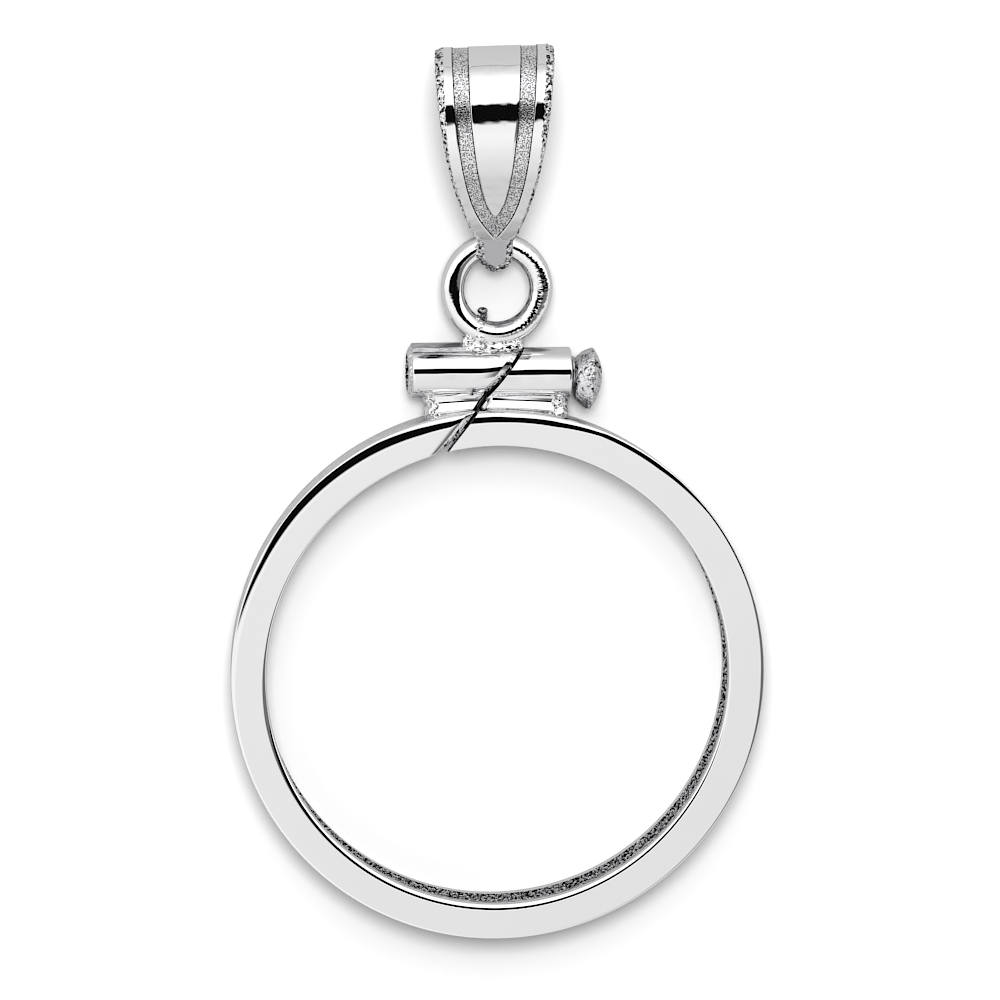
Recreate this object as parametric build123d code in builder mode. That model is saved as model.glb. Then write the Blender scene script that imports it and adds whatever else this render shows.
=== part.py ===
# A screw-top coin bezel with its bail, lying flat on its back. Millimetres, +Z up.
# The origin is the centre of the coin window, on the plane of the back lip. +Y points to the bail and +X to the
# screw's head.
from build123d import *

import os
from math import asin, atan2, cos, degrees, hypot, pi, radians, sin, sqrt

# The coin that the bezel is made for, and its room at the edge and on each face
coin_diameter = 16.5
coin_thickness = 1.2
coin_play = 0.05

# Channel ring
ring_wall = 0.6
lip_height = 0.6
lip_thickness = 0.45
outer_rounding = 0.3
inner_rounding = 0.2

# Barrel, bored for the screw and held off the ring by the solder under it
barrel_diameter = 1.73
barrel_length = 5.35
barrel_left_x = -2.79
barrel_standoff = 0.335
barrel_rim_rounding = 0.08
screw_play = 0.04

# The slanting saw cut through ring and barrel
split_gap = 0.22
split_angle = 52.0
split_x = 0.29

# Solder saddle between the ring and the barrel, and solder foot between the barrel and the jump ring
saddle_left_inset = 0.54
saddle_right_inset = 0.36
saddle_flare = 0.35
saddle_depth = 1.3
foot_centre_x = -0.12
foot_length = 2.05
foot_depth = 1.1
foot_draft = 12.0
foot_sink = 0.2
spur_diameter = 0.32
spur_length = 0.28
spur_angle = 240.0

# Jump ring
jump_wire = 0.78
jump_inner_diameter = 2.2
jump_centre_x = 0.07
jump_standoff = 0.09

# Screw
thread_diameter = 1.16
thread_depth = 0.09
thread_pitch = 0.25
shank_length = 4.95
head_gap = 0.12
head_small_diameter = 1.4
head_large_diameter = 2.04
head_cone_length = 0.58
head_dome_height = 0.36
slot_width = 0.26
slot_depth = 0.3
slot_angle = 48.0

# Bail: a loop of sheet whose sides are drafted, narrower outside than inside. Seen from the side it is a drop: a
# round top, flatter shoulders, straight plates and a small fold round the jump ring. It lies on its back, turned a
# little on the jump ring.
bail_sheet = 0.45
bail_length = 8.25
bail_half_depth = 2.3
bail_top_radius = 2.0
bail_shoulder_radius = 3.1
bail_neck_radius = 1.0
bail_width = 3.93
bail_draft = 0.12
bail_hang = 0.3
bail_centre_x = 0.03
bail_roll = 5.0
bail_turn = 1.8
stripe_depth = 0.04

# Ring radii and heights that follow from the coin
seat_radius = coin_diameter / 2 + coin_play
window_radius = seat_radius - lip_height
ring_radius = seat_radius + ring_wall
groove_width = coin_thickness + 2 * coin_play
ring_height = groove_width + 2 * lip_thickness
mid_z = ring_height / 2

# Places up the bezel, from the ring to the jump ring
barrel_radius = barrel_diameter / 2
barrel_y = ring_radius + barrel_standoff + barrel_radius
barrel_right_x = barrel_left_x + barrel_length
bore_radius = thread_diameter / 2 + screw_play
jump_mid_radius = (jump_inner_diameter + jump_wire) / 2
jump_bottom_y = barrel_y + barrel_radius + jump_standoff
jump_y = jump_bottom_y + jump_wire / 2 + jump_mid_radius


def facing_x(x):
    """A plane across the barrel's axis at x, with its own x along +Y."""
    return Plane(origin=(x, barrel_y, mid_z), x_dir=(0, 1, 0), z_dir=(1, 0, 0))


# The barrel before it is bored and soldered on
with BuildPart() as barrel:
    with BuildSketch(facing_x(barrel_left_x)):
        Circle(barrel_radius)
    extrude(amount=barrel_length)
    fillet(barrel.edges().filter_by(GeomType.CIRCLE), barrel_rim_rounding)

# The channel ring, its barrel, the solder and the jump ring, which are one piece of metal
with BuildPart() as bezel_frame:
    with BuildSketch(Plane.XZ) as channel:
        with Locations((window_radius, 0)):
            Rectangle(ring_radius - window_radius, ring_height, align=(Align.MIN, Align.MIN))
        outer_corners = channel.vertices().group_by(Axis.X)[-1]
        fillet(outer_corners, outer_rounding)
        inner_front_corner = channel.vertices().group_by(Axis.X)[0].sort_by(Axis.Z)[-1]
        fillet(inner_front_corner, inner_rounding)
        with Locations((window_radius, lip_thickness)):
            Rectangle(lip_height, groove_width, align=(Align.MIN, Align.MIN), mode=Mode.SUBTRACT)
    revolve(axis=Axis.Z)

    # The saddle stands in the ring's wall, clear of the coin's groove, and spreads out onto the ring
    saddle_foot_radius = ring_radius - ring_wall / 2
    saddle_left_x = barrel_left_x + saddle_left_inset
    saddle_right_x = barrel_right_x - saddle_right_inset
    left_foot_x = saddle_left_x - saddle_flare
    right_foot_x = saddle_right_x + saddle_flare
    left_foot = (left_foot_x, sqrt(saddle_foot_radius**2 - left_foot_x**2))
    right_foot = (right_foot_x, sqrt(saddle_foot_radius**2 - right_foot_x**2))
    waist_y = ring_radius
    with BuildSketch(Plane.XY.offset(mid_z - saddle_depth / 2)):
        with BuildLine():
            ThreePointArc(left_foot, (0, saddle_foot_radius), right_foot)
            ThreePointArc(right_foot, (saddle_right_x, waist_y), (right_foot_x, barrel_y))
            Line((right_foot_x, barrel_y), (left_foot_x, barrel_y))
            ThreePointArc((left_foot_x, barrel_y), (saddle_left_x, waist_y), left_foot)
        make_face()
    extrude(amount=saddle_depth)

    add(barrel.part)

    foot_base_y = barrel_y + barrel_radius - foot_sink
    with BuildSketch(Plane(origin=(foot_centre_x, foot_base_y, mid_z), x_dir=(1, 0, 0), z_dir=(0, 1, 0))):
        RectangleRounded(foot_length, foot_depth, foot_depth / 4)
    extrude(amount=foot_sink + jump_standoff + jump_wire / 2, taper=foot_draft)

    with BuildSketch(facing_x(barrel_left_x)):
        Circle(bore_radius)
    extrude(amount=barrel_length, mode=Mode.SUBTRACT)

    # The saw cut runs from inside the window to just above the barrel and stops short of the jump ring
    slant = radians(split_angle)
    cut_stop_radius = window_radius - split_gap
    inward = split_x * cos(slant) + barrel_y * sin(slant)
    cut_in = inward - sqrt(inward**2 - (split_x**2 + barrel_y**2 - cut_stop_radius**2))
    cut_out = (barrel_radius + foot_sink) / sin(slant)
    cut_plane = Plane(origin=(split_x, barrel_y, 0), x_dir=(cos(slant), sin(slant), 0), z_dir=(0, 0, 1))
    with BuildSketch(cut_plane):
        with Locations((cut_out, 0)):
            Rectangle(cut_in + cut_out, split_gap, align=(Align.MAX, Align.CENTER))
    extrude(amount=ring_height, mode=Mode.SUBTRACT)

    with Locations((jump_centre_x, jump_y, mid_z)):
        Torus(jump_mid_radius, jump_wire / 2)
    spur_direction = Vector(1, 0, 0).rotate(Axis.Z, spur_angle)
    spur_root = Vector(jump_centre_x, jump_y, mid_z) + spur_direction * jump_mid_radius
    with BuildSketch(Plane(origin=spur_root, z_dir=-spur_direction)):
        Circle(spur_diameter / 2)
    extrude(amount=jump_wire / 2 + spur_length)

bezel_frame.part.label = "bezel_frame"

# The screw: a threaded shank in the barrel and a cone head with a domed, slotted end
head_x = barrel_right_x + head_gap
tip_x = head_x - shank_length
cone_end_x = head_x + head_cone_length
dome_end_x = cone_end_x + head_dome_height
crest_radius = thread_diameter / 2
root_radius = crest_radius - thread_depth
large_radius = head_large_diameter / 2
dome_radius = (large_radius**2 + head_dome_height**2) / (2 * head_dome_height)
dome_half_angle = asin(large_radius / dome_radius) / 2
dome_middle = (
    dome_end_x - dome_radius * (1 - cos(dome_half_angle)),
    dome_radius * sin(dome_half_angle),
)

thread_count = int((shank_length - thread_pitch) / thread_pitch)
thread_points = [(tip_x, 0), (tip_x, root_radius)]
for turn in range(thread_count):
    ridge_x = tip_x + (turn + 0.5) * thread_pitch
    thread_points += [
        (ridge_x - thread_pitch / 3, root_radius),
        (ridge_x, crest_radius),
        (ridge_x + thread_pitch / 3, root_radius),
    ]
thread_points += [(head_x, root_radius), (head_x, head_small_diameter / 2), (cone_end_x, large_radius)]

screw_axis = Axis((0, barrel_y, mid_z), (1, 0, 0))
with BuildPart() as screw:
    with BuildSketch(Plane(origin=(0, barrel_y, mid_z), x_dir=(1, 0, 0), z_dir=(0, 0, 1))):
        with BuildLine():
            Polyline(*thread_points)
            ThreePointArc((cone_end_x, large_radius), dome_middle, (dome_end_x, 0))
            Line((dome_end_x, 0), (tip_x, 0))
        make_face()
    revolve(axis=screw_axis)
    with BuildSketch(facing_x(dome_end_x)):
        Rectangle(2 * head_large_diameter, slot_width, rotation=slot_angle)
    extrude(amount=-slot_depth, mode=Mode.SUBTRACT)
screw.part.label = "screw"

# The bail's own plane holds its middle: x across it, y from the neck to the top, and its front on +z. It rises so
# far from the jump ring that the corner of the back's shoulder, which the roll brings down, lies on the floor.
neck_y = jump_y + jump_inner_diameter / 2 - bail_hang - bail_sheet + bail_neck_radius
top_angle = asin((bail_shoulder_radius - bail_half_depth) / (bail_shoulder_radius - bail_top_radius))
top_y = bail_length - bail_neck_radius - bail_top_radius
shoulder_y = top_y - (bail_shoulder_radius - bail_top_radius) * cos(top_angle)
shoulder_z = bail_half_depth - bail_shoulder_radius
roll = radians(bail_roll)
corner_drop = (bail_width / 2 - bail_draft) * sin(roll)
centre_drop = -shoulder_z * cos(roll) - corner_drop
floor_drop = bail_shoulder_radius * cos(roll) - mid_z
rise = degrees(asin(floor_drop / hypot(shoulder_y, centre_drop)) - atan2(centre_drop, shoulder_y))
neck_place = Location((bail_centre_x, neck_y, mid_z), (0, 0, bail_turn))
bail_plane = Plane(neck_place * Location((0, 0, 0), (rise, 0, 0)) * Location((0, 0, 0), (0, -bail_roll, 0)))

# Angles of the front's normal from the bail's own z towards its y, and lengths along the front from the neck
plate_chord = sqrt(shoulder_y**2 + shoulder_z**2)
plate_length = sqrt(plate_chord**2 - (bail_shoulder_radius - bail_neck_radius) ** 2)
plate_tilt = asin(shoulder_z / plate_chord) + asin((bail_shoulder_radius - bail_neck_radius) / plate_chord)
shoulder_turn = pi / 2 - top_angle + plate_tilt
front_length = plate_length + bail_shoulder_radius * shoulder_turn


def front_plane(along):
    """The plane across the sheet at a distance along the front, with its y pointing in from the outer face."""
    plate_part = min(along, plate_length)
    tilt = -plate_tilt + max(along - plate_length, 0) / bail_shoulder_radius
    normal = Vector(0, sin(tilt), cos(tilt))
    if along <= plate_length:
        outer = normal * bail_neck_radius + Vector(0, cos(tilt), -sin(tilt)) * plate_part
    else:
        outer = Vector(0, shoulder_y, shoulder_z) + normal * bail_shoulder_radius
    across_sheet = Plane(origin=outer, x_dir=(1, 0, 0), z_dir=(0, cos(tilt), -sin(tilt)))
    return Plane(bail_plane.location * across_sheet.location)


def bail_section(share, width_share, draft_share, thickness=bail_sheet):
    """A drafted section of the sheet or of its outer skin, at a share of the front's length."""
    outer_half = bail_width / 2 * width_share - bail_draft * draft_share
    inner_half = outer_half + bail_draft * draft_share * thickness / bail_sheet
    with BuildSketch(front_plane(front_length * share)) as section:
        with BuildLine():
            Polyline(
                (outer_half, 0),
                (inner_half, thickness),
                (-inner_half, thickness),
                (-outer_half, 0),
                close=True,
            )
        make_face()
    return section.sketch.face()


# The tongue is straight and steps out to the plate above it. Share of the front's length, share of the bail's
# width, share of the top's draft.
tongue_shares = [(0.0, 0.297, 0.7), (0.14, 0.297, 0.7), (0.165, 0.34, 0.5)]
plate_shares = [
    (0.165, 0.34, 0.5),
    (0.24, 0.437, 0.3),
    (0.40, 0.622, 0.4),
    (0.53, 0.735, 0.4),
    (0.70, 0.845, 0.5),
    (0.85, 0.93, 0.82),
    (1.00, 1.0, 1.0),
]

# The matte stripes are shallow bands that come down from the top and meet in a V. Each edge is a curve through
# points: share of the way from the neck fold's middle to the end of the top, share of half the bail's width.
stripe_outer_edge = [(1.00, 0.73), (0.86, 0.69), (0.65, 0.61), (0.34, 0.41), (0.24, 0.255), (0.12, 0.0)]
stripe_inner_edge = [(1.00, 0.44), (0.86, 0.415), (0.65, 0.336), (0.34, 0.16), (0.26, 0.0)]

top_axis = Axis(bail_plane.from_local_coords(Vector(0, top_y, 0)), -bail_plane.x_dir)
neck_axis = Axis(bail_plane.origin, bail_plane.x_dir)
top_arc = 2 * degrees(top_angle)
neck_arc = 180 - 2 * degrees(plate_tilt)
stripe_reach = top_y + bail_top_radius

# The skin is the outer layer of the sheet, which the stripes are sunk into
with BuildPart() as stripe_cut:
    skin = [bail_section(*row, thickness=stripe_depth) for row in plate_shares]
    loft(skin)
    mirror(about=bail_plane)
    revolve(skin[-1], axis=top_axis, revolution_arc=top_arc)
    with BuildSketch(bail_plane) as stripes:
        for edge, mode in ((stripe_outer_edge, Mode.ADD), (stripe_inner_edge, Mode.SUBTRACT)):
            right_side = [(bail_width / 2 * across, stripe_reach * along) for along, across in edge]
            left_side = [(-x, y) for x, y in right_side]
            with BuildLine():
                Spline(*right_side)
                Spline(*left_side)
                Line(left_side[0], right_side[0])
            make_face(mode=mode)
    extrude(amount=bail_shoulder_radius, both=True, mode=Mode.INTERSECT)

with BuildPart() as bail:
    loft([bail_section(*row) for row in tongue_shares], ruled=True)
    loft([bail_section(*row) for row in plate_shares])
    mirror(about=bail_plane)
    revolve(bail_section(*plate_shares[-1]), axis=top_axis, revolution_arc=top_arc)
    revolve(bail_section(*tongue_shares[0]), axis=neck_axis, revolution_arc=neck_arc)
    add(stripe_cut.part, mode=Mode.SUBTRACT)
bail.part.label = "bail"

os.makedirs("parts", exist_ok=True)
for piece in (bezel_frame, screw, bail):
    export_step(piece.part, f"parts/{piece.part.label}.step")
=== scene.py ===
# A screw-top coin bezel of white gold with its bail, lying flat on a pale table. Metres, in the shared
# frame: the coin window's centre is the origin, +Z points up, +Y to the bail and +X to the screw's head.
from math import asin, atan2, cos, degrees, hypot, pi, radians, sin, sqrt, tan

import bmesh
import bpy
import numpy as np
from mathutils import Matrix, Vector, noise


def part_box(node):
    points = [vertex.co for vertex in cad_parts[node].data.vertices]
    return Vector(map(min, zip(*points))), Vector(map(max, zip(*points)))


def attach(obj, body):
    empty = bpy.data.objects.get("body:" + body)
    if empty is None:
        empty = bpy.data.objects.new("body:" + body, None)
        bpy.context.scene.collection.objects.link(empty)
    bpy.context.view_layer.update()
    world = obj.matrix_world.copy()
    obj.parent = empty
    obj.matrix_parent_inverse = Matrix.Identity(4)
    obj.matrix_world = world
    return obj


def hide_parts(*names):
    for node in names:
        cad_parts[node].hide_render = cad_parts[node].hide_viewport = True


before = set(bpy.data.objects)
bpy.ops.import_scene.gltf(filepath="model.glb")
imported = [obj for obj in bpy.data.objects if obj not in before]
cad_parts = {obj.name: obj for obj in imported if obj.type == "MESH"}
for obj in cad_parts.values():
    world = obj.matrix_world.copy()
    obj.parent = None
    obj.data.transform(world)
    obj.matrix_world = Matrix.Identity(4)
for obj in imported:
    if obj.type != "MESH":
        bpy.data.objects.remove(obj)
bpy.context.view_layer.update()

# Channel ring: a white gold strip drawn to a C-shaped channel, bent to a hoop and sawn through on a
# slant. Its faces and soft corners are polished and rhodium plated to a mirror. The outer wall keeps a
# dull, filed strip and the channel's inside keeps the grey, scratched skin that the drawing left, with
# painted shade darkening the hollows of both.
MM = 0.001
frame_low, frame_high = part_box("bezel_frame")
screw_low, screw_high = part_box("screw")

ring_radius = -frame_low.x
ring_height = frame_high.z
mid_z = ring_height / 2
window_radius = 7.7 * MM
seat_radius = 8.3 * MM
lip_thickness = 0.45 * MM
back_rounding = 0.3 * MM
lip_break = 0.04 * MM
barrel_y = (screw_low.y + screw_high.y) / 2
saw_left = -0.045 * MM
saw_right = 0.055 * MM
saw_slant = radians(52)
saw_x = 0.29 * MM
chamfer = 0.19 * MM
chamfer_drop = 0.065 * MM
hoop_steps = 560

# The real hoop is sprung open a little by its cut, and its wall leans in towards the back
spring_x = 1.01
spring_y = 1.012
spring_shift_x = 0.035 * MM
spring_shift_y = -0.047 * MM
wall_lean = 0.12 * MM
lean_start = seat_radius + 0.01 * MM

# The front's outer edge is a soft roll that ends in a tight corner: degrees round the hoop from +X, how
# far the roll reaches across the face, its tilt at the end in degrees, and the corner's radius. Lengths
# in these tables are in millimetres.
outer_corner = [
    (0, 0.10, 18, 0.05),
    (20, 0.05, 15, 0.05),
    (40, 0.06, 15, 0.05),
    (55, 0.20, 20, 0.06),
    (70, 0.20, 18, 0.08),
    (80, 0.28, 17, 0.20),
    (90, 0.26, 17, 0.27),
    (100, 0.32, 17, 0.22),
    (112, 0.37, 17.5, 0.09),
    (125, 0.34, 19.5, 0.06),
    (135, 0.32, 21, 0.05),
    (150, 0.28, 29, 0.05),
    (165, 0.18, 24, 0.05),
    (180, 0.10, 18, 0.05),
    (200, 0.05, 15, 0.05),
    (340, 0.05, 15, 0.05),
    (360, 0.10, 18, 0.05),
]

# The inner edge's corner is round: degrees, and how far it reaches across the face and down the wall
inner_corner = [
    (0, 0.07, 0.09), (60, 0.05, 0.05), (120, 0.06, 0.06), (160, 0.13, 0.12), (180, 0.22, 0.16),
    (235, 0.25, 0.17), (270, 0.25, 0.17), (305, 0.18, 0.14), (345, 0.10, 0.11), (360, 0.07, 0.09),
]


def srgb(hex_colour):
    """A linear colour from its sRGB hex value."""
    channels = [int(hex_colour[i : i + 2], 16) / 255 for i in (1, 3, 5)]
    return tuple(c / 12.92 if c <= 0.04045 else ((c + 0.055) / 1.055) ** 2.4 for c in channels) + (1.0,)


def add_node(tree, kind, sockets, **settings):
    """Adds a node. A socket takes a plain value or is linked to another node's output."""
    node = tree.nodes.new(kind)
    for name, value in settings.items():
        setattr(node, name, value)
    for name, value in sockets.items():
        if isinstance(value, bpy.types.NodeSocket):
            tree.links.new(value, node.inputs[name])
        else:
            node.inputs[name].default_value = value
    return node


def calculate(tree, operation, *values):
    """The result of a Math node."""
    return add_node(tree, "ShaderNodeMath", dict(enumerate(values)), operation=operation).outputs["Value"]


def white_gold(name, colour, roughness):
    """A bare white gold: the material, its node tree and its metal shader."""
    material = bpy.data.materials.new(name)
    material.use_nodes = True
    tree = material.node_tree
    shader = tree.nodes["Principled BSDF"]
    shader.inputs["Base Color"].default_value = srgb(colour)
    shader.inputs["Metallic"].default_value = 1.0
    shader.inputs["Roughness"].default_value = roughness
    return material, tree, shader


def object_place(tree):
    """The piece's own coordinates, in metres."""
    return add_node(tree, "ShaderNodeTexCoord", {}).outputs["Object"]


def hoop_place(tree, centre_x, centre_y, radius):
    """Coordinates that follow a hoop: the length round it, the distance from its axis and the height."""
    parts = add_node(tree, "ShaderNodeSeparateXYZ", {"Vector": object_place(tree)})
    x = calculate(tree, "SUBTRACT", parts.outputs["X"], centre_x)
    y = calculate(tree, "SUBTRACT", parts.outputs["Y"], centre_y)
    along = calculate(tree, "MULTIPLY", calculate(tree, "ARCTAN2", y, x), radius)
    squares = calculate(tree, "ADD", calculate(tree, "MULTIPLY", x, x), calculate(tree, "MULTIPLY", y, y))
    away = calculate(tree, "SQRT", squares)
    hoop = add_node(tree, "ShaderNodeCombineXYZ", {"X": along, "Y": away, "Z": parts.outputs["Z"]})
    return hoop.outputs["Vector"]


def grain(tree, place, size, detail=2.0, stretch=(1, 1, 1)):
    """Noise of a real grain size in metres."""
    scaled = add_node(tree, "ShaderNodeMapping", {"Vector": place, "Scale": stretch})
    sockets = {"Vector": scaled.outputs["Vector"], "Scale": 1 / size, "Detail": detail, "Roughness": 0.6}
    return add_node(tree, "ShaderNodeTexNoise", sockets).outputs["Fac"]


def relief(tree, shader, height, depth, under=None):
    """Gives a shader a relief of a real depth in metres, on top of the relief under it."""
    sockets = {"Height": height, "Distance": depth, "Strength": 1.0}
    if under is not None:
        sockets["Normal"] = under
    normal = add_node(tree, "ShaderNodeBump", sockets).outputs["Normal"]
    tree.links.new(normal, shader.inputs["Normal"])
    return normal


def share_between(tree, value, start, stop, low=0.0, high=1.0, **settings):
    """How far a value is from start to stop, as a share or as a number from low to high."""
    sockets = {"Value": value, "From Min": start, "From Max": stop, "To Min": low, "To Max": high}
    return add_node(tree, "ShaderNodeMapRange", sockets, **settings).outputs["Result"]


def mixed_colour(tree, share, first, second):
    """The colour that lies a share of the way from the first to the second."""
    sockets = {"Factor": share, 6: first, 7: second}
    return add_node(tree, "ShaderNodeMix", sockets, data_type="RGBA").outputs[2]


def pitted_and_shaded(
    tree, shader, place, light, hollow_shade, size, depth, hollows, stretch=(1, 1, 1), detail=2.0, under=None
):
    """Gives a metal shader a pitted skin: relief whose hollows, a share of the surface, are darkened by
    painted shade.
    """
    height = grain(tree, place, size, detail, stretch)
    relief(tree, shader, height, depth, under)

    # Nearly all of the noise lies between 0.32 and 0.68
    edge = 0.32 + 0.36 * hollows
    # Painted shade: the colour goes from the pale colour on the tops to the shade colour in the hollows
    out_of_shade = share_between(tree, height, edge - 0.05, edge + 0.07)
    tree.links.new(mixed_colour(tree, out_of_shade, srgb(hollow_shade), srgb(light)), shader.inputs["Base Color"])


# Rhodium plate over a hand-polished face: a neutral mirror whose reflections wander with the buffing
polished_plate, tree, shader = white_gold("rhodium_plate_polished", "#f1f1f2", 0.045)
place = object_place(tree)
wander = relief(tree, shader, grain(tree, place, 2.4 * MM, 0.0), 0.007 * MM)
relief(tree, shader, grain(tree, place, 0.35 * MM), 0.0003 * MM, wander)

# The filed wall: faint dashes along the hoop in a dull plate, their hollows darkened with painted shade
filed_wall, tree, shader = white_gold("rhodium_plate_filed", "#d2d2d4", 0.25)
round_ring = hoop_place(tree, 0.0, 0.0, ring_radius)
pitted_and_shaded(tree, shader, round_ring, "#e6e6e8", "#bebec2", 0.09 * MM, 0.014 * MM, 0.3, (0.35, 1, 1))

# The drawn skin in the channel: grey, with short strokes that lean across it, whose hollows are darkened
# with painted shade
drawn_skin, tree, shader = white_gold("white_gold_as_drawn", "#8c8c8f", 0.25)
round_ring = hoop_place(tree, 0.0, 0.0, ring_radius)
leaning = add_node(
    tree, "ShaderNodeVectorRotate", {"Vector": round_ring, "Angle": radians(35)}, rotation_type="Y_AXIS"
)
place = leaning.outputs["Vector"]
pitted_and_shaded(tree, shader, place, "#e4e4e6", "#262628", 0.075 * MM, 0.07 * MM, 0.44, (0.5, 1, 1.2))

# The sawn faces: pale grey, pitted as coarsely as the saw's teeth, with painted shade in the pits
sawn_face, tree, shader = white_gold("white_gold_sawn", "#a8a8aa", 0.3)
pitted_and_shaded(tree, shader, object_place(tree), "#e6e6e8", "#161618", 0.1 * MM, 0.08 * MM, 0.42)

# File work on ends and chamfers: pale and nearly smooth, with sparse dots of painted shade in its hollows
filed_end, tree, shader = white_gold("white_gold_filed_end", "#e2e2e3", 0.1)
pitted_and_shaded(tree, shader, object_place(tree), "#e8e8e9", "#b0b0b3", 0.08 * MM, 0.003 * MM, 0.2)


def oval_corner(centre, reach, start, stop, count):
    """Points on an oval corner of a section, between two angles in degrees."""
    turn = np.radians(np.linspace(start, stop, count))
    return np.column_stack([centre[0] + reach[0] * np.cos(turn), centre[1] + reach[1] * np.sin(turn)])


def rolled_corner(edge, top, reach, tilt, tight):
    """Points of a section from a wall over a tight corner and a soft roll to the flat at the top."""
    steep = radians(tilt)
    roll = reach / sin(steep)
    drop = roll * (1 - cos(steep))
    turn = np.linspace(0, pi / 2 - steep, 14)
    corner = [edge - tight + tight * np.cos(turn), top - drop - tight * cos(steep) + tight * np.sin(turn)]
    turn = np.linspace(steep, 0, 22)[1:]
    start = edge - tight + tight * sin(steep) - reach
    soft = [start + roll * np.sin(turn), top - roll * (1 - np.cos(turn))]
    return np.concatenate([np.column_stack(corner), np.column_stack(soft)])


def flat_run(start, stop, count):
    """Points between two corners, close together near the ends so that the flat shades flat."""
    share = np.concatenate([[0.03], np.linspace(0.12, 0.88, count), [0.97]])
    return np.outer(1 - share, start) + np.outer(share, stop)


def at_angle(table, angle, column):
    """Reads one of a table's columns at an angle round the hoop."""
    return np.interp(angle, *zip(*[(row[0], row[column]) for row in table]))


def ring_section(angle):
    """The channel's section at an angle round the hoop: radius and height of each point, and its finish,
    which is 0 polished, 1 filed or 2 as drawn."""
    across, tilt, tight = (at_angle(outer_corner, angle, k) for k in (1, 2, 3))
    inner_across, inner_down = (at_angle(inner_corner, angle, k) * MM for k in (1, 2))
    outer, top = ring_radius, ring_height
    back_edge = outer - back_rounding
    window_edge = window_radius + inner_across
    lip_back = top - lip_thickness
    front_edge = rolled_corner(outer, top, across * MM, tilt, tight * MM)
    runs = [
        (0, flat_run((window_radius, lip_thickness), (window_radius, lip_break), 2)),
        (0, oval_corner((window_radius + lip_break, lip_break), (lip_break, lip_break), 180, 270, 4)),
        (0, flat_run((window_radius + lip_break, 0), (back_edge, 0), 4)),
        (0, oval_corner((back_edge, back_rounding), (back_rounding, back_rounding), 270, 360, 12)),
        (1, flat_run((outer, back_rounding), front_edge[0], 12)),
        (0, front_edge),
        (0, flat_run(front_edge[-1], (window_edge, top), 6)),
        (0, oval_corner((window_edge, top - inner_down), (inner_across, inner_down), 90, 180, 18)),
        (2, flat_run((window_radius, top - inner_down), (window_radius, lip_back), 3)),
        (2, np.array([(window_radius, lip_back)])),
        (2, flat_run((window_radius, lip_back), (seat_radius, lip_back), 4)),
        (2, np.array([(seat_radius, lip_back)])),
        (2, flat_run((seat_radius, lip_back), (seat_radius, lip_thickness), 6)),
        (2, np.array([(seat_radius, lip_thickness)])),
        (2, flat_run((seat_radius, lip_thickness), (window_radius, lip_thickness), 6)),
        (0, np.array([(window_radius, lip_thickness)])),
    ]
    points = np.concatenate([run for finish, run in runs])
    points[:, 0] -= wall_lean * (1 - points[:, 1] / top) * (points[:, 0] > lean_start)
    finishes = [finish for finish, run in runs for point in run]
    return points, finishes


def add_object(name, data):
    """Puts a mesh, a lamp or a camera into the scene."""
    made = bpy.data.objects.new(name, data)
    bpy.context.scene.collection.objects.link(made)
    return made


def make_piece(name, rows, faces, finishes, face_finishes, smooth_angle=32):
    """A mesh object from rows of points, faces and each face's finish. It shades smooth between edges."""
    mesh = bpy.data.meshes.new(name)
    mesh.from_pydata([tuple(point) for row in rows for point in row], [], faces)
    for finish in finishes:
        mesh.materials.append(finish)
    mesh.polygons.foreach_set("material_index", face_finishes)
    body = bmesh.new()
    body.from_mesh(mesh)
    bmesh.ops.remove_doubles(body, verts=body.verts, dist=0.0001 * MM)
    bmesh.ops.dissolve_degenerate(body, edges=body.edges, dist=0.0001 * MM)
    bmesh.ops.recalc_face_normals(body, faces=body.faces)
    body.to_mesh(mesh)
    body.free()
    mesh.shade_smooth()
    mesh.set_sharp_from_angle(angle=radians(smooth_angle))
    return add_object(name, mesh)


def place_piece(piece, body, node):
    """The piece rides on its body and stands for its node, whose imported part is hidden."""
    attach(piece, body)
    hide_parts(node)


def woven_faces(rows, columns, closed_rows=False):
    """Quads between rows of points that are closed rings, numbered row by row."""
    faces = []
    for i in range(rows if closed_rows else rows - 1):
        here = i * columns
        below = (i + 1) % rows * columns
        for j in range(columns):
            right = (j + 1) % columns
            faces.append((here + j, here + right, below + right, below + j))
    return faces


def end_caps(rows, columns):
    """Faces that close the first and the last row."""
    return [tuple(range(columns)), tuple((rows - 1) * columns + j for j in range(columns))]


def clamped(value):
    """A value that is kept between 0 and 1."""
    return min(1.0, max(0.0, value))


def saw_angle(radius, side):
    """Where a circle round the window meets the saw cut's side, which is given from the cut's middle."""
    to_cut = saw_x * sin(saw_slant) - barrel_y * cos(saw_slant) + side
    return saw_slant - asin(to_cut / radius)


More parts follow.
